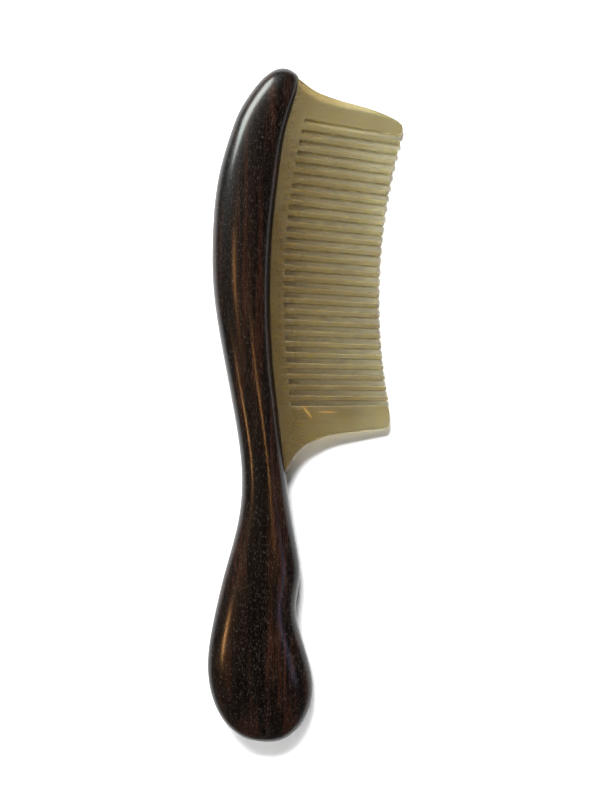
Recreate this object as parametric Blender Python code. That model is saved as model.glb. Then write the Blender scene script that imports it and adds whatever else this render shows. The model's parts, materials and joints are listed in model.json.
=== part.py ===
"""A beard comb: a dark hardwood handle, and a horn tooth plate whose tongue is glued into its spine.

The comb is drawn flat: X points from the spine to the tooth tips, Y from the grip to the top, and Z is
the thickness, with the middle of the plate at Z = 0. All three pieces hang on one empty, which lays the
comb down as it lies on a table: on the belly of the spine, the belly of the grip and the teeth.
Sizes are in millimetres until MM turns them into metres.
"""

import math

import bmesh
import bpy
import numpy as np
from mathutils import Vector

MM = 0.001
GAP = 0.3  # clearance between two glued pieces

# Arcs hollow towards +X, as centre and radius: where wood and horn meet, where the saw cuts end on the
# plate's front and on its back, where the saw ran deeper, and the line of the tooth tips.
JOINT_ARC = ((233.0, 30.5), 243.0)
FRONT_ROOT_ARC = ((204.1, 30.5), 210.0)
BACK_ROOT_ARC = ((233.0, 30.5), 240.7)
TIP_ARC = ((181.55, 30.2), 160.6)

# The 27 saw cuts point at one far centre, so the 26 teeth between them fan out.
CUTS = 27
CUT_WIDTH = 1.38
FAN_CENTRE = (452.1, 2.46)
FIRST_CUT = 9.67  # degrees, from the far centre to the cut beside the top guard
LAST_CUT = -0.27

# The plate is a wedge.
PLATE_HALF = 2.1  # half its thickness at X = PLATE_X
PLATE_X = -10.0
PLATE_TAPER = 0.0215  # loss of half thickness for each millimetre towards the tips
EDGE_ROUND = 0.28

# The tongue in its groove.
TONGUE = 4.0  # how far the plate runs into the wood
GLUE = 0.9
GLUE_HALF = 1.4

# Handle sections, from the top end to the grip's end: left edge, right edge and half thickness.
# A right edge of None lies on the joint arc, LIP outside it.
LIP = 0.5
SECTIONS = (
    ((-11.0, 92.6), (-3.0, 93.6), 2.9),
    ((-15.5, 87.4), (-1.55, 91.5), 4.3),
    ((-20.8, 76.8), (None, 79.5), 5.5),
    ((-24.2, 65.0), (None, 66.0), 6.0),
    ((-25.95, 49.5), (None, 50.0), 6.25),
    ((-25.75, 32.0), (None, 32.0), 6.25),
    ((-23.1, 14.5), (None, 14.5), 6.0),
    ((-20.0, -2.2), (None, -2.5), 5.7),
    ((-17.9, -18.0), (-5.45, -18.2), 5.5),
    ((-18.3, -29.5), (-4.1, -29.5), 5.6),
    ((-21.3, -42.5), (-1.8, -42.6), 5.9),
    ((-22.95, -48.4), (-1.4, -48.2), 6.05),
    ((-24.5, -54.8), (-2.4, -55.5), 6.2),
    ((-26.95, -67.2), (-0.4, -67.2), 6.35),
    ((-27.05, -78.0), (2.2, -78.8), 6.1),
    ((-23.7, -87.6), (0.1, -88.0), 4.8),
    ((-17.3, -93.55), (-5.8, -93.9), 2.6),
)
TOP_END = (-6.4, 94.8)
GRIP_END = (-11.5, -94.8)
SECTION_POWER = 2.3  # 2 would be an ellipse; more is squarer
RING_STEPS = 28
LENGTH_STEPS = 56
END_CROWDING = 0.55  # 0 spaces the rings evenly; towards 1 they crowd at both ends

# The plate's free edges, as points on smooth curves.
TOP_EDGE = (
    (-1.7, 91.55), (0.7, 89.75), (3.1, 88.25), (5.4, 87.2),
    (10.2, 85.55), (18.2, 83.35), (23.8, 81.2), (26.5, 79.7),
)
TOP_CORNER = ((27.5, 78.7), (27.62, 77.35), (27.2, 76.05), (26.4, 75.7))
LOW_CORNER = (
    (22.8, -0.06), (23.4, -0.6), (23.82, -1.8), (23.97, -3.4), (23.94, -4.8), (23.7, -6.1), (23.1, -6.75)
)
LOW_EDGE = (
    (22.1, -6.9), (12.8, -7.95), (6.3, -8.95), (0.9, -11.2),
    (-1.4, -12.95), (-2.75, -14.5), (-4.25, -16.9), (-5.2, -18.7),
)

GRIP_TOP = -40.0  # Y below which the handle is grip, and not spine
LEAN_ROUNDS = 12


def joint_x(y, into_wood=0.0):
    """X of the joint arc at Y, or of the same arc further into the wood."""
    centre, radius = JOINT_ARC
    return centre[0] - math.sqrt((radius + into_wood) ** 2 - (y - centre[1]) ** 2)


def closed_spline(knots, values, period):
    """A smooth closed curve through values at knots: returns a function of the parameter."""
    knots = np.array(knots)
    values = np.array(values)
    count = len(knots)
    steps = np.diff(np.append(knots, knots[0] + period))
    slopes = (np.roll(values, -1, axis=0) - values) / steps[:, None]
    matrix = np.zeros((count, count))
    for i in range(count):
        matrix[i, i - 1] += steps[i - 1]
        matrix[i, i] += 2 * (steps[i - 1] + steps[i])
        matrix[i, (i + 1) % count] += steps[i]
    bends = np.linalg.solve(matrix, 6 * (slopes - np.roll(slopes, 1, axis=0)))

    def curve(at):
        at = knots[0] + (at - knots[0]) % period
        i = int(np.searchsorted(knots, at, side="right")) - 1
        j = (i + 1) % count
        step = steps[i]
        u = at - knots[i]
        rest = step - u
        line = (values[i] * rest + values[j] * u) / step
        bend = bends[i] * (rest**3 / step - step * rest) + bends[j] * (u**3 / step - step * u)
        return line + bend / 6

    return curve


def handle_curve():
    """The handle's outline as a closed curve of X, Y and signed half thickness.

    The parameter runs from 0 at the top end down the left edge to 1 at the grip's end, and from 1 up
    the right edge to 2. A section joins the points at s and 2 - s.
    """
    left = [Vector(row[0]) for row in SECTIONS]
    right = [Vector((joint_x(y) + LIP if x is None else x, y)) for _, (x, y), _ in SECTIONS]
    halves = [row[2] for row in SECTIONS]
    ends = [Vector(TOP_END), Vector(GRIP_END)]
    rails = [[ends[0], *rail, ends[1]] for rail in (left, right)]
    spans = [sum((rail[i + 1] - rail[i]).length for rail in rails) for i in range(len(left) + 1)]
    places = np.cumsum(spans) / sum(spans)
    knots = [0.0, *places, *(2 - places[-2::-1])]
    values = [(*TOP_END, 0.0)]
    values += [(*point, half) for point, half in zip(left, halves)]
    values += [(*GRIP_END, 0.0)]
    values += [(*point, -half) for point, half in zip(right[::-1], halves[::-1])]
    return closed_spline(knots, values, 2.0)


def section_point(left, right, turn):
    """A point on the rounded section between two edge points; turn is 0 at the right edge."""
    cos, sin = math.cos(turn), math.sin(turn)
    across = math.copysign(abs(cos) ** (2 / SECTION_POWER), cos)
    up = math.copysign(abs(sin) ** (2 / SECTION_POWER), sin)
    middle = (left + right) / 2
    half = (right - left) / 2
    return Vector((middle[0] + half[0] * across, middle[1] + half[1] * across, left[2] * up))


def handle_blank():
    """A sphere drawn out into the handle: its rings become the handle's sections."""
    bm = bmesh.new()
    bmesh.ops.create_uvsphere(bm, u_segments=RING_STEPS, v_segments=LENGTH_STEPS, radius=1.0)
    curve = handle_curve()
    for vert in bm.verts:
        polar = math.acos(max(-1.0, min(1.0, vert.co.z)))
        along = polar / math.pi - END_CROWDING * math.sin(2 * polar) / (2 * math.pi)
        turn = math.atan2(vert.co.y, vert.co.x)
        vert.co = section_point(curve(along), curve(2 - along), turn)
    bmesh.ops.recalc_face_normals(bm, faces=bm.faces)
    return bm


def plate_half(x):
    """Half the plate's thickness at X."""
    return PLATE_HALF - PLATE_TAPER * (x - PLATE_X)


def smooth_through(points, steps):
    """Points along a smooth open curve through the given ones, both ends included."""
    points = [Vector(p) for p in points]
    ends = [2 * points[0] - points[1], *points, 2 * points[-1] - points[-2]]
    found = []
    for before, start, end, after in zip(ends, ends[1:], ends[2:], ends[3:]):
        for i in range(steps):
            u = i / steps
            pull_in = (end - before) * (u - 2 * u**2 + u**3)
            pull_out = (after - start) * (u**3 - u**2)
            blend = 3 * u**2 - 2 * u**3
            found.append(start * (1 - blend) + end * blend + (pull_in + pull_out) / 2)
    return [*found, points[-1]]


def fan_line(angle):
    """Unit vectors along a line of the fan, from tip to root, and across it, towards the top."""
    angle = math.radians(angle)
    along = Vector((-math.cos(angle), math.sin(angle)))
    return along, Vector((along.y, -along.x))


def where_line_meets(start, along, arc):
    """Where a line from the far centre runs out through an arc that is hollow towards it."""
    centre, radius = arc
    offset = start - Vector(centre)
    b = offset.dot(along)
    return start + along * (-b + math.sqrt(b**2 - offset.length_squared + radius**2))


def cut_corners(index, root_arc):
    """The four corners of a saw cut: top at tip, top at root, low at root, low at tip."""
    along, across = fan_line(FIRST_CUT + (LAST_CUT - FIRST_CUT) * index / (CUTS - 1))
    top = Vector(FAN_CENTRE) + across * (CUT_WIDTH / 2)
    low = Vector(FAN_CENTRE) - across * (CUT_WIDTH / 2)
    top_tip, low_tip = (where_line_meets(side, along, TIP_ARC) for side in (top, low))
    top_root, low_root = (where_line_meets(side, along, root_arc) for side in (top, low))
    return top_tip, top_root, low_root, low_tip


def tooth_tip(top, low, steps):
    """Points round a tooth's tip, from its top wall to its low wall."""
    across = (top - low) / 2
    out = Vector((across.y, -across.x))
    middle = (top + low) / 2 - out
    turns = [math.pi * (0.5 - i / steps) for i in range(steps + 1)]
    return [middle + out * math.cos(turn) + across * math.sin(turn) for turn in turns]


def tongue_edge(into_wood, low, top, steps):
    """Points up an arc inside the wood, from Y = low to Y = top."""
    heights = [low + (top - low) * i / steps for i in range(steps + 1)]
    return [Vector((joint_x(y, into_wood), y)) for y in heights]


def plate_outline(root_arc):
    """One face of the plate with its cuts, clockwise from the top of the joint."""
    points = smooth_through(TOP_EDGE, 3) + smooth_through(TOP_CORNER, 2)
    cuts = [cut_corners(i, root_arc) for i in range(CUTS)]
    for i, (_, top_root, low_root, low_tip) in enumerate(cuts):
        points += [top_root, low_root]
        if i < CUTS - 1:
            points += tooth_tip(low_tip, cuts[i + 1][0], 6)
    points += smooth_through(LOW_CORNER, 2) + smooth_through(LOW_EDGE, 3)
    points += tongue_edge(TONGUE, -16.8, 86.5, 24)
    return [*points, Vector((-4.6, 89.7)), Vector((-3.0, 91.1))]


def slab(front, back, half):
    """A solid between two outlines of as many points; half gives half its thickness at X."""
    bm = bmesh.new()
    verts = [bm.verts.new((p.x, p.y, half(p.x))) for p in front]
    face = bm.faces.new(verts)
    made = bmesh.ops.extrude_face_region(bm, geom=[face])
    lower = [item for item in made["geom"] if isinstance(item, bmesh.types.BMVert)]
    for vert in lower:
        index = min(range(len(front)), key=lambda i: (vert.co.xy - front[i]).length)
        vert.co = (back[index].x, back[index].y, -half(back[index].x))
    bmesh.ops.recalc_face_normals(bm, faces=bm.faces)
    return bm


def material(name, colour, roughness):
    """A plain finish for one piece."""
    finish = bpy.data.materials.new(name)
    finish.use_nodes = True
    shader = finish.node_tree.nodes["Principled BSDF"]
    shader.inputs["Base Color"].default_value = (*colour, 1.0)
    shader.inputs["Roughness"].default_value = roughness
    shader.inputs["Metallic"].default_value = 0.0
    finish.diffuse_color = (*colour, 1.0)
    return finish


def new_object(name, bm, holder, finish=None):
    """A mesh object, drawn in millimetres, that hangs on the comb's empty."""
    bmesh.ops.scale(bm, vec=(MM, MM, MM), verts=bm.verts)
    mesh = bpy.data.meshes.new(name)
    bm.to_mesh(mesh)
    bm.free()
    piece = bpy.data.objects.new(name, mesh)
    piece.parent = holder
    bpy.context.scene.collection.objects.link(piece)
    if finish:
        mesh.materials.append(finish)
        mesh.shade_smooth()
        mesh.set_sharp_from_angle(angle=math.radians(35))
    return piece


def make_groove(holder):
    """The cutter for the groove, GAP clear of the plate and deep enough for the glue."""
    depth = TONGUE + GLUE + 2 * GAP
    outline = tongue_edge(depth, -18.2, 88.2, 24)
    outline += [Vector((-5.3, 90.5)), Vector((-3.2, 91.5)), Vector((-1.8, 91.95)), Vector((6.0, 91.95))]
    outline += [Vector((6.0, -17.6)), Vector((-4.0, -17.6)), Vector((-5.1, -19.4))]
    groove = new_object("groove_cutter", slab(outline, outline, lambda x: plate_half(x) + GAP), holder)
    groove.hide_render = True
    groove.display_type = "WIRE"
    return groove


def make_handle(holder):
    """The wood: spine, neck and grip in one, with the groove sawn along the spine."""
    handle = new_object("handle", handle_blank(), holder, material("dark_wood", (0.045, 0.02, 0.014), 0.25))
    cut = handle.modifiers.new("groove", "BOOLEAN")
    cut.operation = "DIFFERENCE"
    cut.solver = "EXACT"
    cut.object = make_groove(holder)
    return handle


def make_tooth_plate(holder):
    """The horn: both guards, the teeth and the tongue, with its edges rubbed round."""
    bm = slab(plate_outline(FRONT_ROOT_ARC), plate_outline(BACK_ROOT_ARC), plate_half)
    plate = new_object("tooth_plate", bm, holder, material("horn", (0.36, 0.28, 0.13), 0.2))
    rub = plate.modifiers.new("rubbed_edges", "BEVEL")
    rub.width = EDGE_ROUND * MM
    rub.segments = 1
    rub.limit_method = "ANGLE"
    rub.angle_limit = math.radians(75)
    return plate


def make_glue_bed(holder):
    """The hardened glue between the tongue's edge and the bottom of the groove."""
    near = tongue_edge(TONGUE + GAP, 86.0, -16.3, 24)
    far = tongue_edge(TONGUE + GAP + GLUE, 86.0, -16.3, 24)
    outline = near + far[::-1]
    bm = slab(outline, outline, lambda x: GLUE_HALF)
    return new_object("glue_bed", bm, holder, material("hard_glue", (0.55, 0.42, 0.22), 0.4))


def points_of(pieces):
    """Every vertex of the finished pieces, where it lies now."""
    bpy.context.view_layer.update()
    depsgraph = bpy.context.evaluated_depsgraph_get()
    seen = [piece.evaluated_get(depsgraph) for piece in pieces]
    return [piece.matrix_world @ vert.co for piece in seen for vert in piece.data.vertices]


def lay_down(holder, handle, plate):
    """Leans the comb until spine, grip and teeth touch Z = 0, and centres it over the origin."""
    up = Vector((0.0, 0.0, 1.0))
    normal = up.copy()  # of the plate's middle plane; the comb never turns about Z
    for _ in range(LEAN_ROUNDS):
        holder.matrix_world = up.rotation_difference(normal).to_matrix().to_4x4()
        wood = points_of([handle])
        spine = min((p for p in wood if p.y > 0.0), key=up.dot)
        grip = min((p for p in wood if p.y < GRIP_TOP * MM), key=up.dot)
        teeth = min(points_of([plate]), key=up.dot)
        floor = (teeth - spine).cross(spine - grip)
        normal.rotate(floor.rotation_difference(up))
    points = points_of([handle, plate])
    low = Vector([min(p[axis] for p in points) for axis in range(3)])
    high = Vector([max(p[axis] for p in points) for axis in range(3)])
    holder.location -= Vector(((low.x + high.x) / 2, (low.y + high.y) / 2, low.z))
    bpy.context.view_layer.update()


def main():
    for old in list(bpy.data.objects):
        bpy.data.objects.remove(old)
    holder = bpy.data.objects.new("comb", None)
    bpy.context.scene.collection.objects.link(holder)
    handle = make_handle(holder)
    plate = make_tooth_plate(holder)
    make_glue_bed(holder)
    lay_down(holder, handle, plate)


main()
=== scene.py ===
"""The finished beard comb: a polished dark hardwood handle and a polished horn tooth plate.

Both pieces are drawn flat, in millimetres: X from the spine to the tooth tips, Y from the grip to the
top, Z the thickness, with the middle of the horn at Z = 0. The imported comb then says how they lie.
"""

import json
import math

import bmesh
import bpy
import numpy as np
from mathutils import Matrix, Vector


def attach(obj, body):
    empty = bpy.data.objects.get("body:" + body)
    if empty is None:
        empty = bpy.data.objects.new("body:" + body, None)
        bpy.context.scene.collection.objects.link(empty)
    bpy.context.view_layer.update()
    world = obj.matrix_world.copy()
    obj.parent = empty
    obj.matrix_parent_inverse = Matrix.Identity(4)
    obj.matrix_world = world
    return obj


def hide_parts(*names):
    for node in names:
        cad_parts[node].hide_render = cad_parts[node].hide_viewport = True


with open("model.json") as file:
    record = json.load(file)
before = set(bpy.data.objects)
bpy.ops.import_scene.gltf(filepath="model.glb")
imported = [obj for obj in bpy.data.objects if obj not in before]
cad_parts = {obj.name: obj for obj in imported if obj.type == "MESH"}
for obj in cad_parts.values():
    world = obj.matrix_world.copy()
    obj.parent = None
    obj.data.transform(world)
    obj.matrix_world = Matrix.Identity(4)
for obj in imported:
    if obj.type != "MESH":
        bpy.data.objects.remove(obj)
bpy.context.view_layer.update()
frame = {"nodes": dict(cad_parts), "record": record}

MM = 0.001

# The comb's own drawing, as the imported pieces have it. Arcs are hollow towards +X: centre and radius.
JOINT_ARC = ((233.0, 30.5), 243.0)  # where the horn meets the wood
FRONT_ROOT_ARC = ((204.1, 30.5), 210.0)
BACK_ROOT_ARC = ((233.0, 30.5), 240.7)
TIP_ARC = ((181.55, 30.2), 160.6)  # the teeth's ends

CUTS = 27
CUT_WIDTH = 1.38
FAN_CENTRE = (452.1, 2.46)  # the far centre that all the saw cuts point to
FIRST_CUT = 9.67  # degrees, at that centre
LAST_CUT = -0.27

PLATE_HALF = 2.1  # half the horn's thickness at X = PLATE_X
PLATE_X = -10.0
PLATE_TAPER = 0.0215  # how much that half falls for each millimetre of X
GUARD_MIDDLE = (12.0, -4.0)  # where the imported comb's two mounts are on the drawing

# The tongue and its groove follow the joint arc inside the wood; the ends are their lowest and top Y.
TONGUE = 4.0
TONGUE_ENDS = (-16.8, 86.5)
TONGUE_HEAD = ((-4.6, 89.7), (-3.0, 91.1))
GLUE_ROOM = 1.5
GROOVE_ENDS = (-18.2, 88.2)
GROOVE_MOUTH = (
    (-4.7, 89.8), (-3.05, 91.15), (-1.9, 91.6), (6.0, 91.6), (6.0, -17.6), (-4.0, -17.6), (-5.1, -19.4)
)
JOINT_STEPS = 48
BITE = 0.01  # the wood holds the horn this tightly

# The handle's sections: the left edge, the right edge, where no X means the joint arc and the lip that
# laps over it, and half the thickness.
LIP = 0.5
SECTIONS = (
    ((-11.0, 92.6), (-3.0, 93.6), 2.9),
    ((-15.5, 87.4), (-1.55, 91.5), 4.3),
    ((-20.8, 76.8), (None, 79.5), 5.5),
    ((-24.2, 65.0), (None, 66.0), 6.0),
    ((-25.95, 49.5), (None, 50.0), 6.25),
    ((-25.75, 32.0), (None, 32.0), 6.25),
    ((-23.1, 14.5), (None, 14.5), 6.0),
    ((-20.0, -2.2), (None, -2.5), 5.7),
    ((-17.9, -18.0), (-5.45, -18.2), 5.5),
    ((-18.3, -29.5), (-4.1, -29.5), 5.6),
    ((-21.3, -42.5), (-1.8, -42.6), 5.9),
    ((-22.95, -48.4), (-1.4, -48.2), 6.05),
    ((-24.5, -54.8), (-2.4, -55.5), 6.2),
    ((-26.95, -67.2), (-0.4, -67.2), 6.35),
    ((-27.05, -78.0), (2.2, -78.8), 6.1),
    ((-23.7, -87.6), (0.1, -88.0), 4.8),
    ((-17.3, -93.55), (-5.8, -93.9), 2.6),
)
TOP_END = (-6.4, 94.8)
GRIP_END = (-11.5, -94.8)
SECTION_POWER = 2.3
RING_STEPS = 96
LENGTH_STEPS = 300
END_CROWDING = 0.55  # how much closer the rings stand at the two ends
WOOD_CREASE = 35  # degrees, above which an edge stays crisp
HORN_CREASE = 50

TOP_EDGE = (
    (-1.7, 91.55), (0.7, 89.75), (3.1, 88.25), (5.4, 87.2),
    (10.2, 85.55), (18.2, 83.35), (23.8, 81.2), (26.5, 79.7),
)
TOP_CORNER = ((27.5, 78.7), (27.62, 77.35), (27.2, 76.05), (26.4, 75.7))
LOW_CORNER = (
    (22.8, -0.06), (23.4, -0.6), (23.82, -1.8), (23.97, -3.4), (23.94, -4.8), (23.7, -6.1), (23.1, -6.75)
)
LOW_EDGE = (
    (22.1, -6.9), (12.8, -7.95), (6.3, -8.95), (0.9, -11.2),
    (-1.4, -12.95), (-2.75, -14.5), (-4.25, -16.9), (-5.2, -18.7),
)
EDGE_STEPS = 6
CORNER_STEPS = 5

# How far the horn's edges are rubbed round.
WALL_ROUND = 0.36
ROOT_ROUND = 0.25
GUARD_ROUND = 0.9
ROUND_STEPS = 3
TIP_FALL = 1.9  # length over which a tooth thins towards its end
TIP_THIN = 0.5  # the share of its thickness that it loses there
TIP_STEPS = 10
WALL_STATIONS = (0.75, 0.3)  # extra points on a tooth's walls, from where its round end starts

CAMERA_HEIGHT = 350.0  # above the middle of the horn
PICTURE_HEIGHT = 225.4  # what the picture spans at the comb
PICTURE_CENTRE = (-1.39, 1.34)


def resting_place():
    """How the flat drawing lies on the table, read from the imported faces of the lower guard."""
    mounts = {mount["name"]: mount for mount in frame["record"]["mounts"]}
    front, back = mounts["guard_front"], mounts["guard_back"]
    normal = Vector(front["axis"]) - Vector(back["axis"])
    lean = Vector((0.0, 0.0, 1.0)).rotation_difference(normal).to_matrix().to_4x4()
    middle = (Vector(front["pos_m"]) + Vector(back["pos_m"])) / 2
    drawn = Vector((*GUARD_MIDDLE, 0.0)) * MM
    return Matrix.Translation(middle - lean @ drawn) @ lean


LAID = resting_place()


def joint_x(y, into_wood=0.0):
    """X of the joint arc at Y, or of the same arc further into the wood."""
    centre, radius = JOINT_ARC
    return centre[0] - math.sqrt((radius + into_wood) ** 2 - (y - centre[1]) ** 2)


def along_joint(into_wood, ends):
    """Points along the joint arc, or the same arc further into the wood, from the low end up."""
    return [Vector((joint_x(y, into_wood), y)) for y in np.linspace(*ends, JOINT_STEPS + 1)]


def closed_spline(knots, values, period):
    """A smooth closed curve through values at knots: returns a function of the parameter."""
    knots = np.array(knots)
    values = np.array(values)
    count = len(knots)
    steps = np.diff(np.append(knots, knots[0] + period))
    slopes = (np.roll(values, -1, axis=0) - values) / steps[:, None]
    matrix = np.zeros((count, count))
    for i in range(count):
        matrix[i, i - 1] += steps[i - 1]
        matrix[i, i] += 2 * (steps[i - 1] + steps[i])
        matrix[i, (i + 1) % count] += steps[i]
    bends = np.linalg.solve(matrix, 6 * (slopes - np.roll(slopes, 1, axis=0)))

    def curve(at):
        at = knots[0] + (at - knots[0]) % period
        i = int(np.searchsorted(knots, at, side="right")) - 1
        j = (i + 1) % count
        step = steps[i]
        u = at - knots[i]
        rest = step - u
        line = (values[i] * rest + values[j] * u) / step
        bend = bends[i] * (rest**3 / step - step * rest) + bends[j] * (u**3 / step - step * u)
        return line + bend / 6

    return curve


def handle_curve():
    """The handle's outline as a closed curve of X, Y and signed half thickness.

    The parameter runs from 0 at the top end down the left edge to 1 at the grip's end, and from 1 up
    the right edge to 2. A section joins the points at s and 2 - s.
    """
    left = [Vector(row[0]) for row in SECTIONS]
    right = [Vector((joint_x(y) + LIP if x is None else x, y)) for _, (x, y), _ in SECTIONS]
    halves = [row[2] for row in SECTIONS]
    ends = [Vector(TOP_END), Vector(GRIP_END)]
    rails = [[ends[0], *rail, ends[1]] for rail in (left, right)]
    spans = [sum((rail[i + 1] - rail[i]).length for rail in rails) for i in range(len(left) + 1)]
    places = np.cumsum(spans) / sum(spans)
    knots = [0.0, *places, *(2 - places[-2::-1])]
    values = [(*TOP_END, 0.0)]
    values += [(*point, half) for point, half in zip(left, halves)]
    values += [(*GRIP_END, 0.0)]
    values += [(*point, -half) for point, half in zip(right[::-1], halves[::-1])]
    return closed_spline(knots, values, 2.0)


def section_point(left, right, turn):
    """A point on the rounded section between two edge points; turn is 0 at the right edge."""
    cos, sin = math.cos(turn), math.sin(turn)
    across = math.copysign(abs(cos) ** (2 / SECTION_POWER), cos)
    up = math.copysign(abs(sin) ** (2 / SECTION_POWER), sin)
    middle = (left + right) / 2
    half = (right - left) / 2
    return Vector((middle[0] + half[0] * across, middle[1] + half[1] * across, left[2] * up))


def handle_blank():
    """A sphere drawn out into the handle: its rings become the handle's sections."""
    bm = bmesh.new()
    bmesh.ops.create_uvsphere(bm, u_segments=RING_STEPS, v_segments=LENGTH_STEPS, radius=1.0)
    curve = handle_curve()
    ends = {}
    for vert in bm.verts:
        polar = math.acos(max(-1.0, min(1.0, vert.co.z)))
        along = polar / math.pi - END_CROWDING * math.sin(2 * polar) / (2 * math.pi)
        turn = math.atan2(vert.co.y, vert.co.x)
        key = round(along, 7)
        if key not in ends:
            ends[key] = (curve(along), curve(2 - along))
        vert.co = section_point(*ends[key], turn)
    bmesh.ops.recalc_face_normals(bm, faces=bm.faces)
    return bm


def plate_half(x):
    """Half the horn's thickness at X."""
    return PLATE_HALF - PLATE_TAPER * (x - PLATE_X)


def smooth_through(points, steps):
    """Points along a smooth open curve through the given ones, both ends included."""
    points = [Vector(p) for p in points]
    ends = [2 * points[0] - points[1], *points, 2 * points[-1] - points[-2]]
    found = []
    for before, start, end, after in zip(ends, ends[1:], ends[2:], ends[3:]):
        for i in range(steps):
            u = i / steps
            pull_in = (end - before) * (u - 2 * u**2 + u**3)
            pull_out = (after - start) * (u**3 - u**2)
            blend = 3 * u**2 - 2 * u**3
            found.append(start * (1 - blend) + end * blend + (pull_in + pull_out) / 2)
    return [*found, points[-1]]


def fan_line(angle):
    """Unit vectors along a line of the fan, from tip to root, and across it, towards the top."""
    angle = math.radians(angle)
    along = Vector((-math.cos(angle), math.sin(angle)))
    return along, Vector((along.y, -along.x))


def where_line_meets(start, along, arc):
    """Where a line from the far centre runs out through an arc that is hollow towards it."""
    centre, radius = arc
    offset = start - Vector(centre)
    b = offset.dot(along)
    return start + along * (-b + math.sqrt(b**2 - offset.length_squared + radius**2))


def cut_corners(index, root_arc):
    """The four corners of a saw cut: top at tip, top at root, low at root, low at tip."""
    along, across = fan_line(FIRST_CUT + (LAST_CUT - FIRST_CUT) * index / (CUTS - 1))
    top = Vector(FAN_CENTRE) + across * (CUT_WIDTH / 2)
    low = Vector(FAN_CENTRE) - across * (CUT_WIDTH / 2)
    top_tip, low_tip = (where_line_meets(side, along, TIP_ARC) for side in (top, low))
    top_root, low_root = (where_line_meets(side, along, root_arc) for side in (top, low))
    return top_tip, top_root, low_root, low_tip


class Outline:
    """An outline of the horn or of its groove, built up stretch by stretch."""

    def __init__(self):
        self.points = []
        self.shares = []  # how much of the horn's thickness each point has
        self.rounds = []  # how far the edge is rubbed round at each point
        self.pairs = []  # the numbers of the points that face each other across a tooth

    def add(self, points, rub, shares=None, rub_at_end=None):
        """More points; the rubbing goes over from rub to rub_at_end, if that is given."""
        change = 0.0 if rub_at_end is None else (rub_at_end - rub) / (len(points) - 1)
        self.points += points
        self.rounds += [rub + change * i for i in range(len(points))]
        self.shares += shares or [1.0] * len(points)

    def add_tooth(self, top_tip, top_root, low_tip, low_root):
        """Round a tooth's end, from its top wall to its low wall, thinner towards the end."""
        across = (top_tip - low_tip) / 2
        out = Vector((across.y, -across.x))
        end = (top_tip + low_tip) / 2
        middle = end - out
        upper = (top_root - top_tip).normalized()
        lower = (low_root - low_tip).normalized()
        turns = [math.pi * (0.5 - i / TIP_STEPS) for i in range(TIP_STEPS + 1)]
        points = [middle + across + upper * far for far in WALL_STATIONS]
        points += [middle + out * math.cos(turn) + across * math.sin(turn) for turn in turns]
        points += [middle - across + lower * far for far in WALL_STATIONS[::-1]]
        ahead = out.normalized()
        short = [max(0.0, 1 - (end - point).dot(ahead) / TIP_FALL) for point in points]
        first, last = len(self.points), len(self.points) + len(points) - 1
        self.pairs += [(first + i, last - i) for i in range(len(points) // 2)]
        self.add(points, WALL_ROUND, [1 - TIP_THIN * gone**2 for gone in short])

    def steps_in(self):
        """For each point, the step that takes both its edges one millimetre inwards."""
        least = 0.5  # keeps the step short at a sharp corner
        steps = []
        befores = [self.points[-1], *self.points]
        afters = [*self.points[1:], self.points[0]]
        for before, here, after in zip(befores, self.points, afters):
            one, two = (Vector((way.y, -way.x)).normalized() for way in (here - before, after - here))
            steps.append((one + two) / max(least, 1 + one.dot(two)))
        return steps


def plate_outline(root_arc):
    """One face of the horn with its saw cuts, clockwise from the top of the joint.

    The guards' outer edges are rubbed rounder than the saw cuts' walls and the rim next to the wood.
    """
    near_wood = 2 * EDGE_STEPS
    near_cut = 3 * CORNER_STEPS
    outline = Outline()
    edge = smooth_through(TOP_EDGE, EDGE_STEPS)
    outline.add(edge[:near_wood], WALL_ROUND, rub_at_end=GUARD_ROUND)
    outline.add(edge[near_wood:], GUARD_ROUND)
    outline.add(smooth_through(TOP_CORNER, CORNER_STEPS), GUARD_ROUND, rub_at_end=WALL_ROUND)
    cuts = [cut_corners(i, root_arc) for i in range(CUTS)]
    for i, (_, top_root, low_root, low_tip) in enumerate(cuts):
        outline.add([top_root, low_root], ROOT_ROUND)
        if i < CUTS - 1:
            outline.add_tooth(low_tip, low_root, cuts[i + 1][0], cuts[i + 1][1])
    corner = smooth_through(LOW_CORNER, CORNER_STEPS)
    outline.add(corner[:near_cut], WALL_ROUND, rub_at_end=GUARD_ROUND)
    outline.add(corner[near_cut:], GUARD_ROUND)
    edge = smooth_through(LOW_EDGE, EDGE_STEPS)
    outline.add(edge[:-near_wood], GUARD_ROUND)
    outline.add(edge[-near_wood:], GUARD_ROUND, rub_at_end=WALL_ROUND)
    outline.add(along_joint(TONGUE, TONGUE_ENDS), WALL_ROUND)
    outline.add([Vector(point) for point in TONGUE_HEAD], WALL_ROUND)
    return outline


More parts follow.
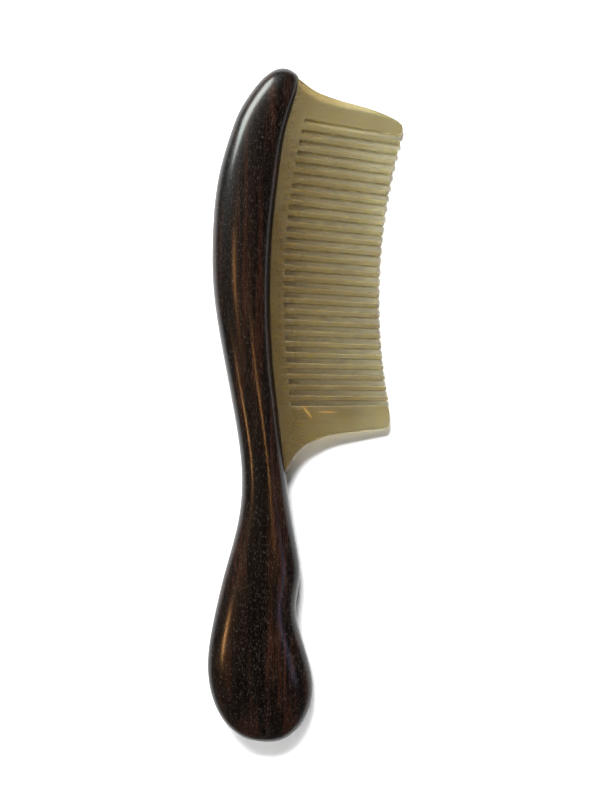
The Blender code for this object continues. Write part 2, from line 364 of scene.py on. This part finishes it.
def slab(front, back, half):
    """A solid between two outlines that match point by point; half gives half its thickness at X.

    It grows from the back: each ring is extruded from the last, out and in again round the rubbed rim.
    The outlines' pairs are joined across the first and the last face.
    """
    quarter = [math.pi / 2 * i / ROUND_STEPS for i in range(ROUND_STEPS + 1)]
    turns = quarter if any(front.rounds) else quarter[-1:]
    rings = [(back, back.steps_in(), -1, turn) for turn in turns]
    rings += [(front, front.steps_in(), 1, turn) for turn in turns[::-1]]
    bm = bmesh.new()
    place = bm.verts.layers.int.new("place")
    verts = [bm.verts.new((point.x, point.y, 0.0)) for point in back.points]
    for i, vert in enumerate(verts):
        vert[place] = i
    face = bm.faces.new(verts)
    joins = []
    for number, (outline, steps, side, turn) in enumerate(rings):
        if number:
            made = bmesh.ops.extrude_face_region(bm, geom=[face])["geom"]
            if number > 1:
                bm.faces.remove(face)
            face = next(item for item in made if isinstance(item, bmesh.types.BMFace))
        for vert in face.verts:
            i = vert[place]
            rub = outline.rounds[i]
            spot = outline.points[i] + steps[i] * (rub * (1 - math.sin(turn)))
            high = half(spot.x) * outline.shares[i] - rub * (1 - math.cos(turn))
            vert.co = (spot.x, spot.y, side * high)
        if number in (0, len(rings) - 1):
            ring = {vert[place]: vert for vert in face.verts}
            joins = [(ring[a], ring[b]) for a, b in outline.pairs] + joins
    for join in joins:
        bmesh.ops.connect_verts(bm, verts=join)
    bmesh.ops.recalc_face_normals(bm, faces=bm.faces)
    return bm


def lay_down(bm):
    """From the flat drawing to the place on the table, in metres."""
    bmesh.ops.scale(bm, vec=(MM, MM, MM), verts=bm.verts)
    bmesh.ops.transform(bm, matrix=LAID, verts=bm.verts)


def new_piece(name, bm, finish=None):
    """An object at the origin whose place is in its mesh."""
    mesh = bpy.data.meshes.new(name)
    bm.to_mesh(mesh)
    bm.free()
    mesh.shade_smooth()
    if finish:
        mesh.materials.append(finish)
    piece = bpy.data.objects.new(name, mesh)
    bpy.context.scene.collection.objects.link(piece)
    return piece


def feed(made, **inputs):
    """Set a node's inputs, or link them where the value is an output; _0 is the first input."""
    for name, value in inputs.items():
        socket = made.inputs[int(name[1:])] if name[0] == "_" else made.inputs[name.replace("_", " ")]
        if isinstance(value, bpy.types.NodeSocket):
            made.id_data.links.new(value, socket)
        else:
            socket.default_value = value


def node(tree, kind, settings=None, **inputs):
    """A new node of this kind; inputs are values, or the outputs that feed them."""
    made = tree.nodes.new("ShaderNode" + kind)
    for name, value in (settings or {}).items():
        setattr(made, name, value)
    feed(made, **inputs)
    return made


def maths(tree, operation, *values):
    """The output of one sum."""
    inputs = {f"_{i}": value for i, value in enumerate(values)}
    return node(tree, "Math", {"operation": operation}, **inputs).outputs[0]


def drawing_place(tree):
    """Where a point is on the comb's flat drawing, in millimetres."""
    back = LAID.inverted()
    where = node(tree, "TexCoord").outputs["Object"]
    turned = node(
        tree,
        "Mapping",
        Vector=where,
        Scale=(1 / MM,) * 3,
        Rotation=back.to_euler(),
        Location=back.translation / MM,
    )
    return turned.outputs[0]


def stretched(tree, place, size):
    """The drawing place counted in steps of this size in X, Y and Z, for a pattern drawn out that way."""
    scale = [1 / length for length in size]
    return node(tree, "Mapping", Vector=place, Scale=scale).outputs[0]


def noise(tree, place, detail, rough, warp=0.0):
    """Smooth noise from 0 to 1, mostly near the middle."""
    made = node(tree, "TexNoise", Vector=place, Scale=1.0, Detail=detail, Roughness=rough, Distortion=warp)
    return made.outputs["Fac"]


def ramp(tree, value, *stops):
    """A colour for each value: stops are pairs of position and colour, or of position and grey."""
    made = node(tree, "ValToRGB", Fac=value)
    elements = made.color_ramp.elements
    while len(elements) < len(stops):
        elements.new(1.0)
    for element, (position, colour) in zip(elements, stops):
        element.position = position
        element.color = (*colour, 1.0) if isinstance(colour, tuple) else (colour, colour, colour, 1.0)
    return made.outputs["Color"]


def mixed(tree, share, one, other, blend="MIX"):
    """One colour going over into another; the other may be a plain red, green and blue."""
    if isinstance(other, tuple):
        other = (*other, 1.0)
    settings = {"data_type": "RGBA", "blend_type": blend}
    return node(tree, "Mix", settings, _0=share, _6=one, _7=other).outputs[2]


def bumped(tree, height, depth, strength):
    """A normal bent by a height; depth is in metres."""
    made = node(tree, "Bump", Height=height, Distance=depth, Strength=strength)
    return made.outputs["Normal"]


def painted_glint_line(tree, place, start, end, width):
    """1 on a fine line between two points of the drawing, fading out to its sides and its ends: the mask
    of a painted glint.
    """
    start = Vector((*start, 0.0))
    way = Vector((*end, 0.0)) - start
    turn = -math.atan2(way.y, way.x)
    shift = -(Matrix.Rotation(turn, 3, "Z") @ start)
    line = node(tree, "Mapping", Vector=place, Rotation=(0.0, 0.0, turn), Location=shift).outputs[0]
    parts = node(tree, "SeparateXYZ", Vector=line)
    along = maths(tree, "DIVIDE", parts.outputs["X"], way.length)
    across = maths(tree, "DIVIDE", parts.outputs["Y"], width)
    shape = maths(tree, "MULTIPLY", along, maths(tree, "SUBTRACT", 1.0, along))
    side = maths(tree, "SUBTRACT", 1.0, maths(tree, "MULTIPLY", across, across))
    shape = maths(tree, "MAXIMUM", maths(tree, "MULTIPLY", shape, 4.0), 0.0)
    return maths(tree, "MULTIPLY", shape, maths(tree, "MAXIMUM", side, 0.0))


def new_finish(name):
    """A bare material: its tree and its main shader."""
    finish = bpy.data.materials.new(name)
    finish.use_nodes = True
    return finish, finish.node_tree, finish.node_tree.nodes["Principled BSDF"]


def hardwood():
    """Near-black hardwood with straight red-brown stripes and open pores, under a thin polish."""
    finish, tree, shader = new_finish("polished_dark_wood")
    place = drawing_place(tree)
    figure = noise(tree, stretched(tree, place, (3.4, 80.0, 5.0)), 5.0, 0.66, 0.2)
    fibres = noise(tree, stretched(tree, place, (0.32, 6.0, 0.6)), 4.0, 0.75)
    pores = noise(tree, stretched(tree, place, (0.16, 0.8, 0.25)), 1.0, 0.5)
    colour = ramp(
        tree, figure,
        (0.4, (0.0009, 0.0006, 0.0005)),
        (0.5, (0.003, 0.0016, 0.0011)),
        (0.59, (0.011, 0.0036, 0.0018)),
        (0.68, (0.0028, 0.0015, 0.001)),
    )
    streaks = ramp(tree, fibres, (0.36, 0.15), (0.66, 2.2))
    colour = mixed(tree, 1.0, colour, streaks, "MULTIPLY")
    flecks = ramp(tree, pores, (0.62, 0.0), (0.72, 1.0))
    colour = mixed(tree, flecks, colour, (0.036, 0.029, 0.024))
    dullness = ramp(tree, fibres, (0.3, 0.36), (0.7, 0.55))
    grain = bumped(tree, mixed(tree, 0.5, fibres, flecks), 0.00004, 0.7)
    feed(shader, Base_Color=colour, Roughness=dullness, Normal=grain)
    feed(shader, Specular_IOR_Level=0.1, Coat_Weight=0.55, Coat_Roughness=0.19, Coat_IOR=1.45)
    return finish


def horn():
    """Olive-tan horn with painted shade towards the wood, clear enough to glow on its walls, with faint
    fibres.
    """
    finish, tree, shader = new_finish("polished_horn")
    place = drawing_place(tree)
    cloud = noise(tree, stretched(tree, place, (22.0, 16.0, 6.0)), 2.0, 0.5, 0.4)
    fibres = noise(tree, stretched(tree, place, (9.0, 0.6, 0.6)), 3.0, 0.6)
    far = node(tree, "SeparateXYZ", Vector=place).outputs["X"]
    width = 36.0  # from PLATE_X to just short of the tips
    outwards = maths(tree, "MULTIPLY_ADD", far, 1 / width, -PLATE_X / width)
    # The colour darkens towards the wood: painted shade for the spine's shadow over the horn there.
    colour = ramp(
        tree, outwards,
        (0.0, (0.23, 0.165, 0.075)),
        (0.35, (0.36, 0.295, 0.15)),
        (1.0, (0.5, 0.475, 0.32)),
    )
    tint = ramp(tree, cloud, (0.3, (0.85, 0.78, 0.68)), (0.7, (1.1, 1.13, 1.1)))
    colour = mixed(tree, 1.0, colour, tint, "MULTIPLY")
    streaks = ramp(tree, fibres, (0.3, 0.93), (0.7, 1.05))
    colour = mixed(tree, 1.0, colour, streaks, "MULTIPLY")
    # Two short golden lines on the lower guard, near the last cut: painted glints of warm light.
    painted_glints = painted_glint_line(tree, place, (-1.0, 0.1), (2.1, -3.9), 0.4)
    painted_glints = maths(tree, "MAXIMUM", painted_glints, painted_glint_line(tree, place, (3.4, -2.0), (9.2, -2.1), 0.3))
    colour = mixed(tree, painted_glints, colour, (0.95, 0.6, 0.2))
    feed(shader, Base_Color=colour, Normal=bumped(tree, fibres, 0.00002, 0.15))
    feed(shader, Roughness=0.15, IOR=1.54, Transmission_Weight=0.78, Coat_Weight=0.5, Coat_Roughness=0.06)
    feed(shader, Subsurface_Weight=1.0, Subsurface_Radius=(1.0, 0.75, 0.3), Subsurface_Scale=0.003)
    depth = node(tree, "VolumeAbsorption", Color=(0.55, 0.49, 0.18, 1.0), Density=260.0)
    feed(tree.nodes["Material Output"], Volume=depth.outputs[0])
    return finish


def hard_glue():
    """Hard amber glue with a cloudy core."""
    finish, tree, shader = new_finish("hard_amber_glue")
    place = drawing_place(tree)
    cloud = noise(tree, stretched(tree, place, (1.2, 5.0, 1.2)), 3.0, 0.6)
    colour = ramp(tree, cloud, (0.3, (0.42, 0.27, 0.1)), (0.7, (0.62, 0.47, 0.24)))
    dullness = ramp(tree, cloud, (0.3, 0.28), (0.7, 0.5))
    feed(shader, Base_Color=colour, Roughness=dullness, Normal=bumped(tree, cloud, 0.0001, 0.5))
    return finish


def groove_cutter():
    """The saw that opens the spine for the horn's tongue, as wide as the horn is thick."""
    outline = Outline()
    outline.add(along_joint(TONGUE + GLUE_ROOM, GROOVE_ENDS), 0.0)
    outline.add([Vector(point) for point in GROOVE_MOUTH], 0.0)
    return slab(outline, outline, lambda x: plate_half(x) - BITE)


def make_handle():
    """The wood: spine, neck and grip in one, with the groove for the horn."""
    blank = handle_blank()
    lay_down(blank)
    cutter = groove_cutter()
    lay_down(cutter)
    handle = new_piece("wood_handle", blank, hardwood())
    saw = new_piece("groove_saw", cutter)
    cut = handle.modifiers.new("groove", "BOOLEAN")
    cut.operation = "DIFFERENCE"
    cut.solver = "EXACT"
    cut.object = saw
    bpy.context.view_layer.update()
    ready = handle.evaluated_get(bpy.context.evaluated_depsgraph_get())
    mesh = bpy.data.meshes.new_from_object(ready)
    handle.modifiers.clear()
    handle.data = mesh
    bpy.data.objects.remove(saw)
    mesh.shade_smooth()
    mesh.set_sharp_from_angle(angle=math.radians(WOOD_CREASE))
    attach(handle, "root")
    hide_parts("handle")


def make_tooth_plate():
    """The horn: both guards, the teeth and the tongue in one, with its edges rubbed round."""
    front = plate_outline(FRONT_ROOT_ARC)
    bm = slab(front, plate_outline(BACK_ROOT_ARC), plate_half)
    lay_down(bm)
    plate = new_piece("horn_tooth_plate", bm, horn())
    plate.data.set_sharp_from_angle(angle=math.radians(HORN_CREASE))
    even = plate.modifiers.new("even_shading", "WEIGHTED_NORMAL")
    even.weight = 100
    even.keep_sharp = True
    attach(plate, "root")
    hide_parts("tooth_plate")


def finish_glue_bed():
    """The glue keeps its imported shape."""
    bed = frame["nodes"]["glue_bed"]
    bed.data.materials.clear()
    bed.data.materials.append(hard_glue())


def make_table():
    """A plain pale table top."""
    bm = bmesh.new()
    bmesh.ops.create_grid(bm, x_segments=1, y_segments=1, size=2.0)
    finish, _, shader = new_finish("white_table")
    feed(shader, Base_Color=(0.86, 0.86, 0.86, 1.0), Roughness=0.6)
    new_piece("table_top", bm, finish)


def make_camera():
    """Looks square onto the comb's flat face."""
    data = bpy.data.cameras.new("camera")
    data.sensor_width = 36.0
    data.lens = data.sensor_width * CAMERA_HEIGHT / PICTURE_HEIGHT
    data.clip_start = 0.01
    camera = bpy.data.objects.new("camera", data)
    above = Vector((*PICTURE_CENTRE, CAMERA_HEIGHT)) * MM
    camera.matrix_world = LAID @ Matrix.Translation(above)
    bpy.context.scene.collection.objects.link(camera)
    bpy.context.scene.camera = camera


def soft_box(name, azimuth, elevation, distance, size, power, colour, lights=True, shines=True, along=0.0):
    """A rectangular lamp aimed at the comb; azimuth 0 is at the top of the comb, 90 past its teeth.

    A lamp that only lights leaves no reflection, and one that only shines is nothing but a reflection.
    along moves it towards the top of the comb, without turning it.
    """
    data = bpy.data.lights.new(name, "AREA")
    data.shape = "RECTANGLE"
    data.size, data.size_y = size
    data.energy = power
    data.color = colour
    lamp = bpy.data.objects.new(name, data)
    turn, rise = math.radians(azimuth), math.radians(elevation)
    back = Vector((math.sin(turn) * math.cos(rise), math.cos(turn) * math.cos(rise), math.sin(rise)))
    lamp.location = back * distance + Vector((0.0, along, 0.0))
    lamp.rotation_euler = back.to_track_quat("Z", "Y").to_euler()
    lamp.visible_camera = False
    lamp.visible_glossy = shines
    lamp.visible_diffuse = lamp.visible_transmission = lights
    bpy.context.scene.collection.objects.link(lamp)


def light_the_table():
    """A window past the top of the comb lights it, and a small fill lifts the shadow under the grip.

    The rest are reflections: the window, three warm lamps over the wood and a bluish one on the grip.
    """
    white = (1.0, 1.0, 1.0)
    warm = (1.0, 0.46, 0.14)
    soft_box("window", 350, 52, 0.7, (0.35, 0.2), 15.0, white, shines=False)
    soft_box("window_shine", 328, 35, 0.7, (0.42, 0.22), 9.0, (0.93, 1.0, 0.96), lights=False)
    soft_box("warm_lamp", 270, 79, 0.7, (0.07, 0.05), 0.3, warm, lights=False, along=0.1)
    soft_box("warm_strip", 90, 70, 0.7, (0.07, 0.02), 0.3, warm, lights=False)
    soft_box("low_fill", 186, 28, 0.175, (0.06, 0.04), 0.075, white, shines=False)
    soft_box("warm_glint", 270, 50, 0.7, (0.1, 0.03), 0.8, (1.0, 0.5, 0.18), lights=False, along=-0.14)
    soft_box("blue_fill", 90, 48, 0.8, (0.22, 0.12), 0.2, (0.62, 0.62, 1.0), lights=False, along=-0.16)
    world = bpy.data.worlds.new("white_room")
    world.use_nodes = True
    feed(world.node_tree.nodes["Background"], Color=(*white, 1.0), Strength=0.2)
    world.cycles_visibility.glossy = False
    bpy.context.scene.world = world
    bpy.context.scene.view_settings.view_transform = "Standard"


make_camera()
make_handle()
make_tooth_plate()
finish_glue_bed()
make_table()
light_the_table()
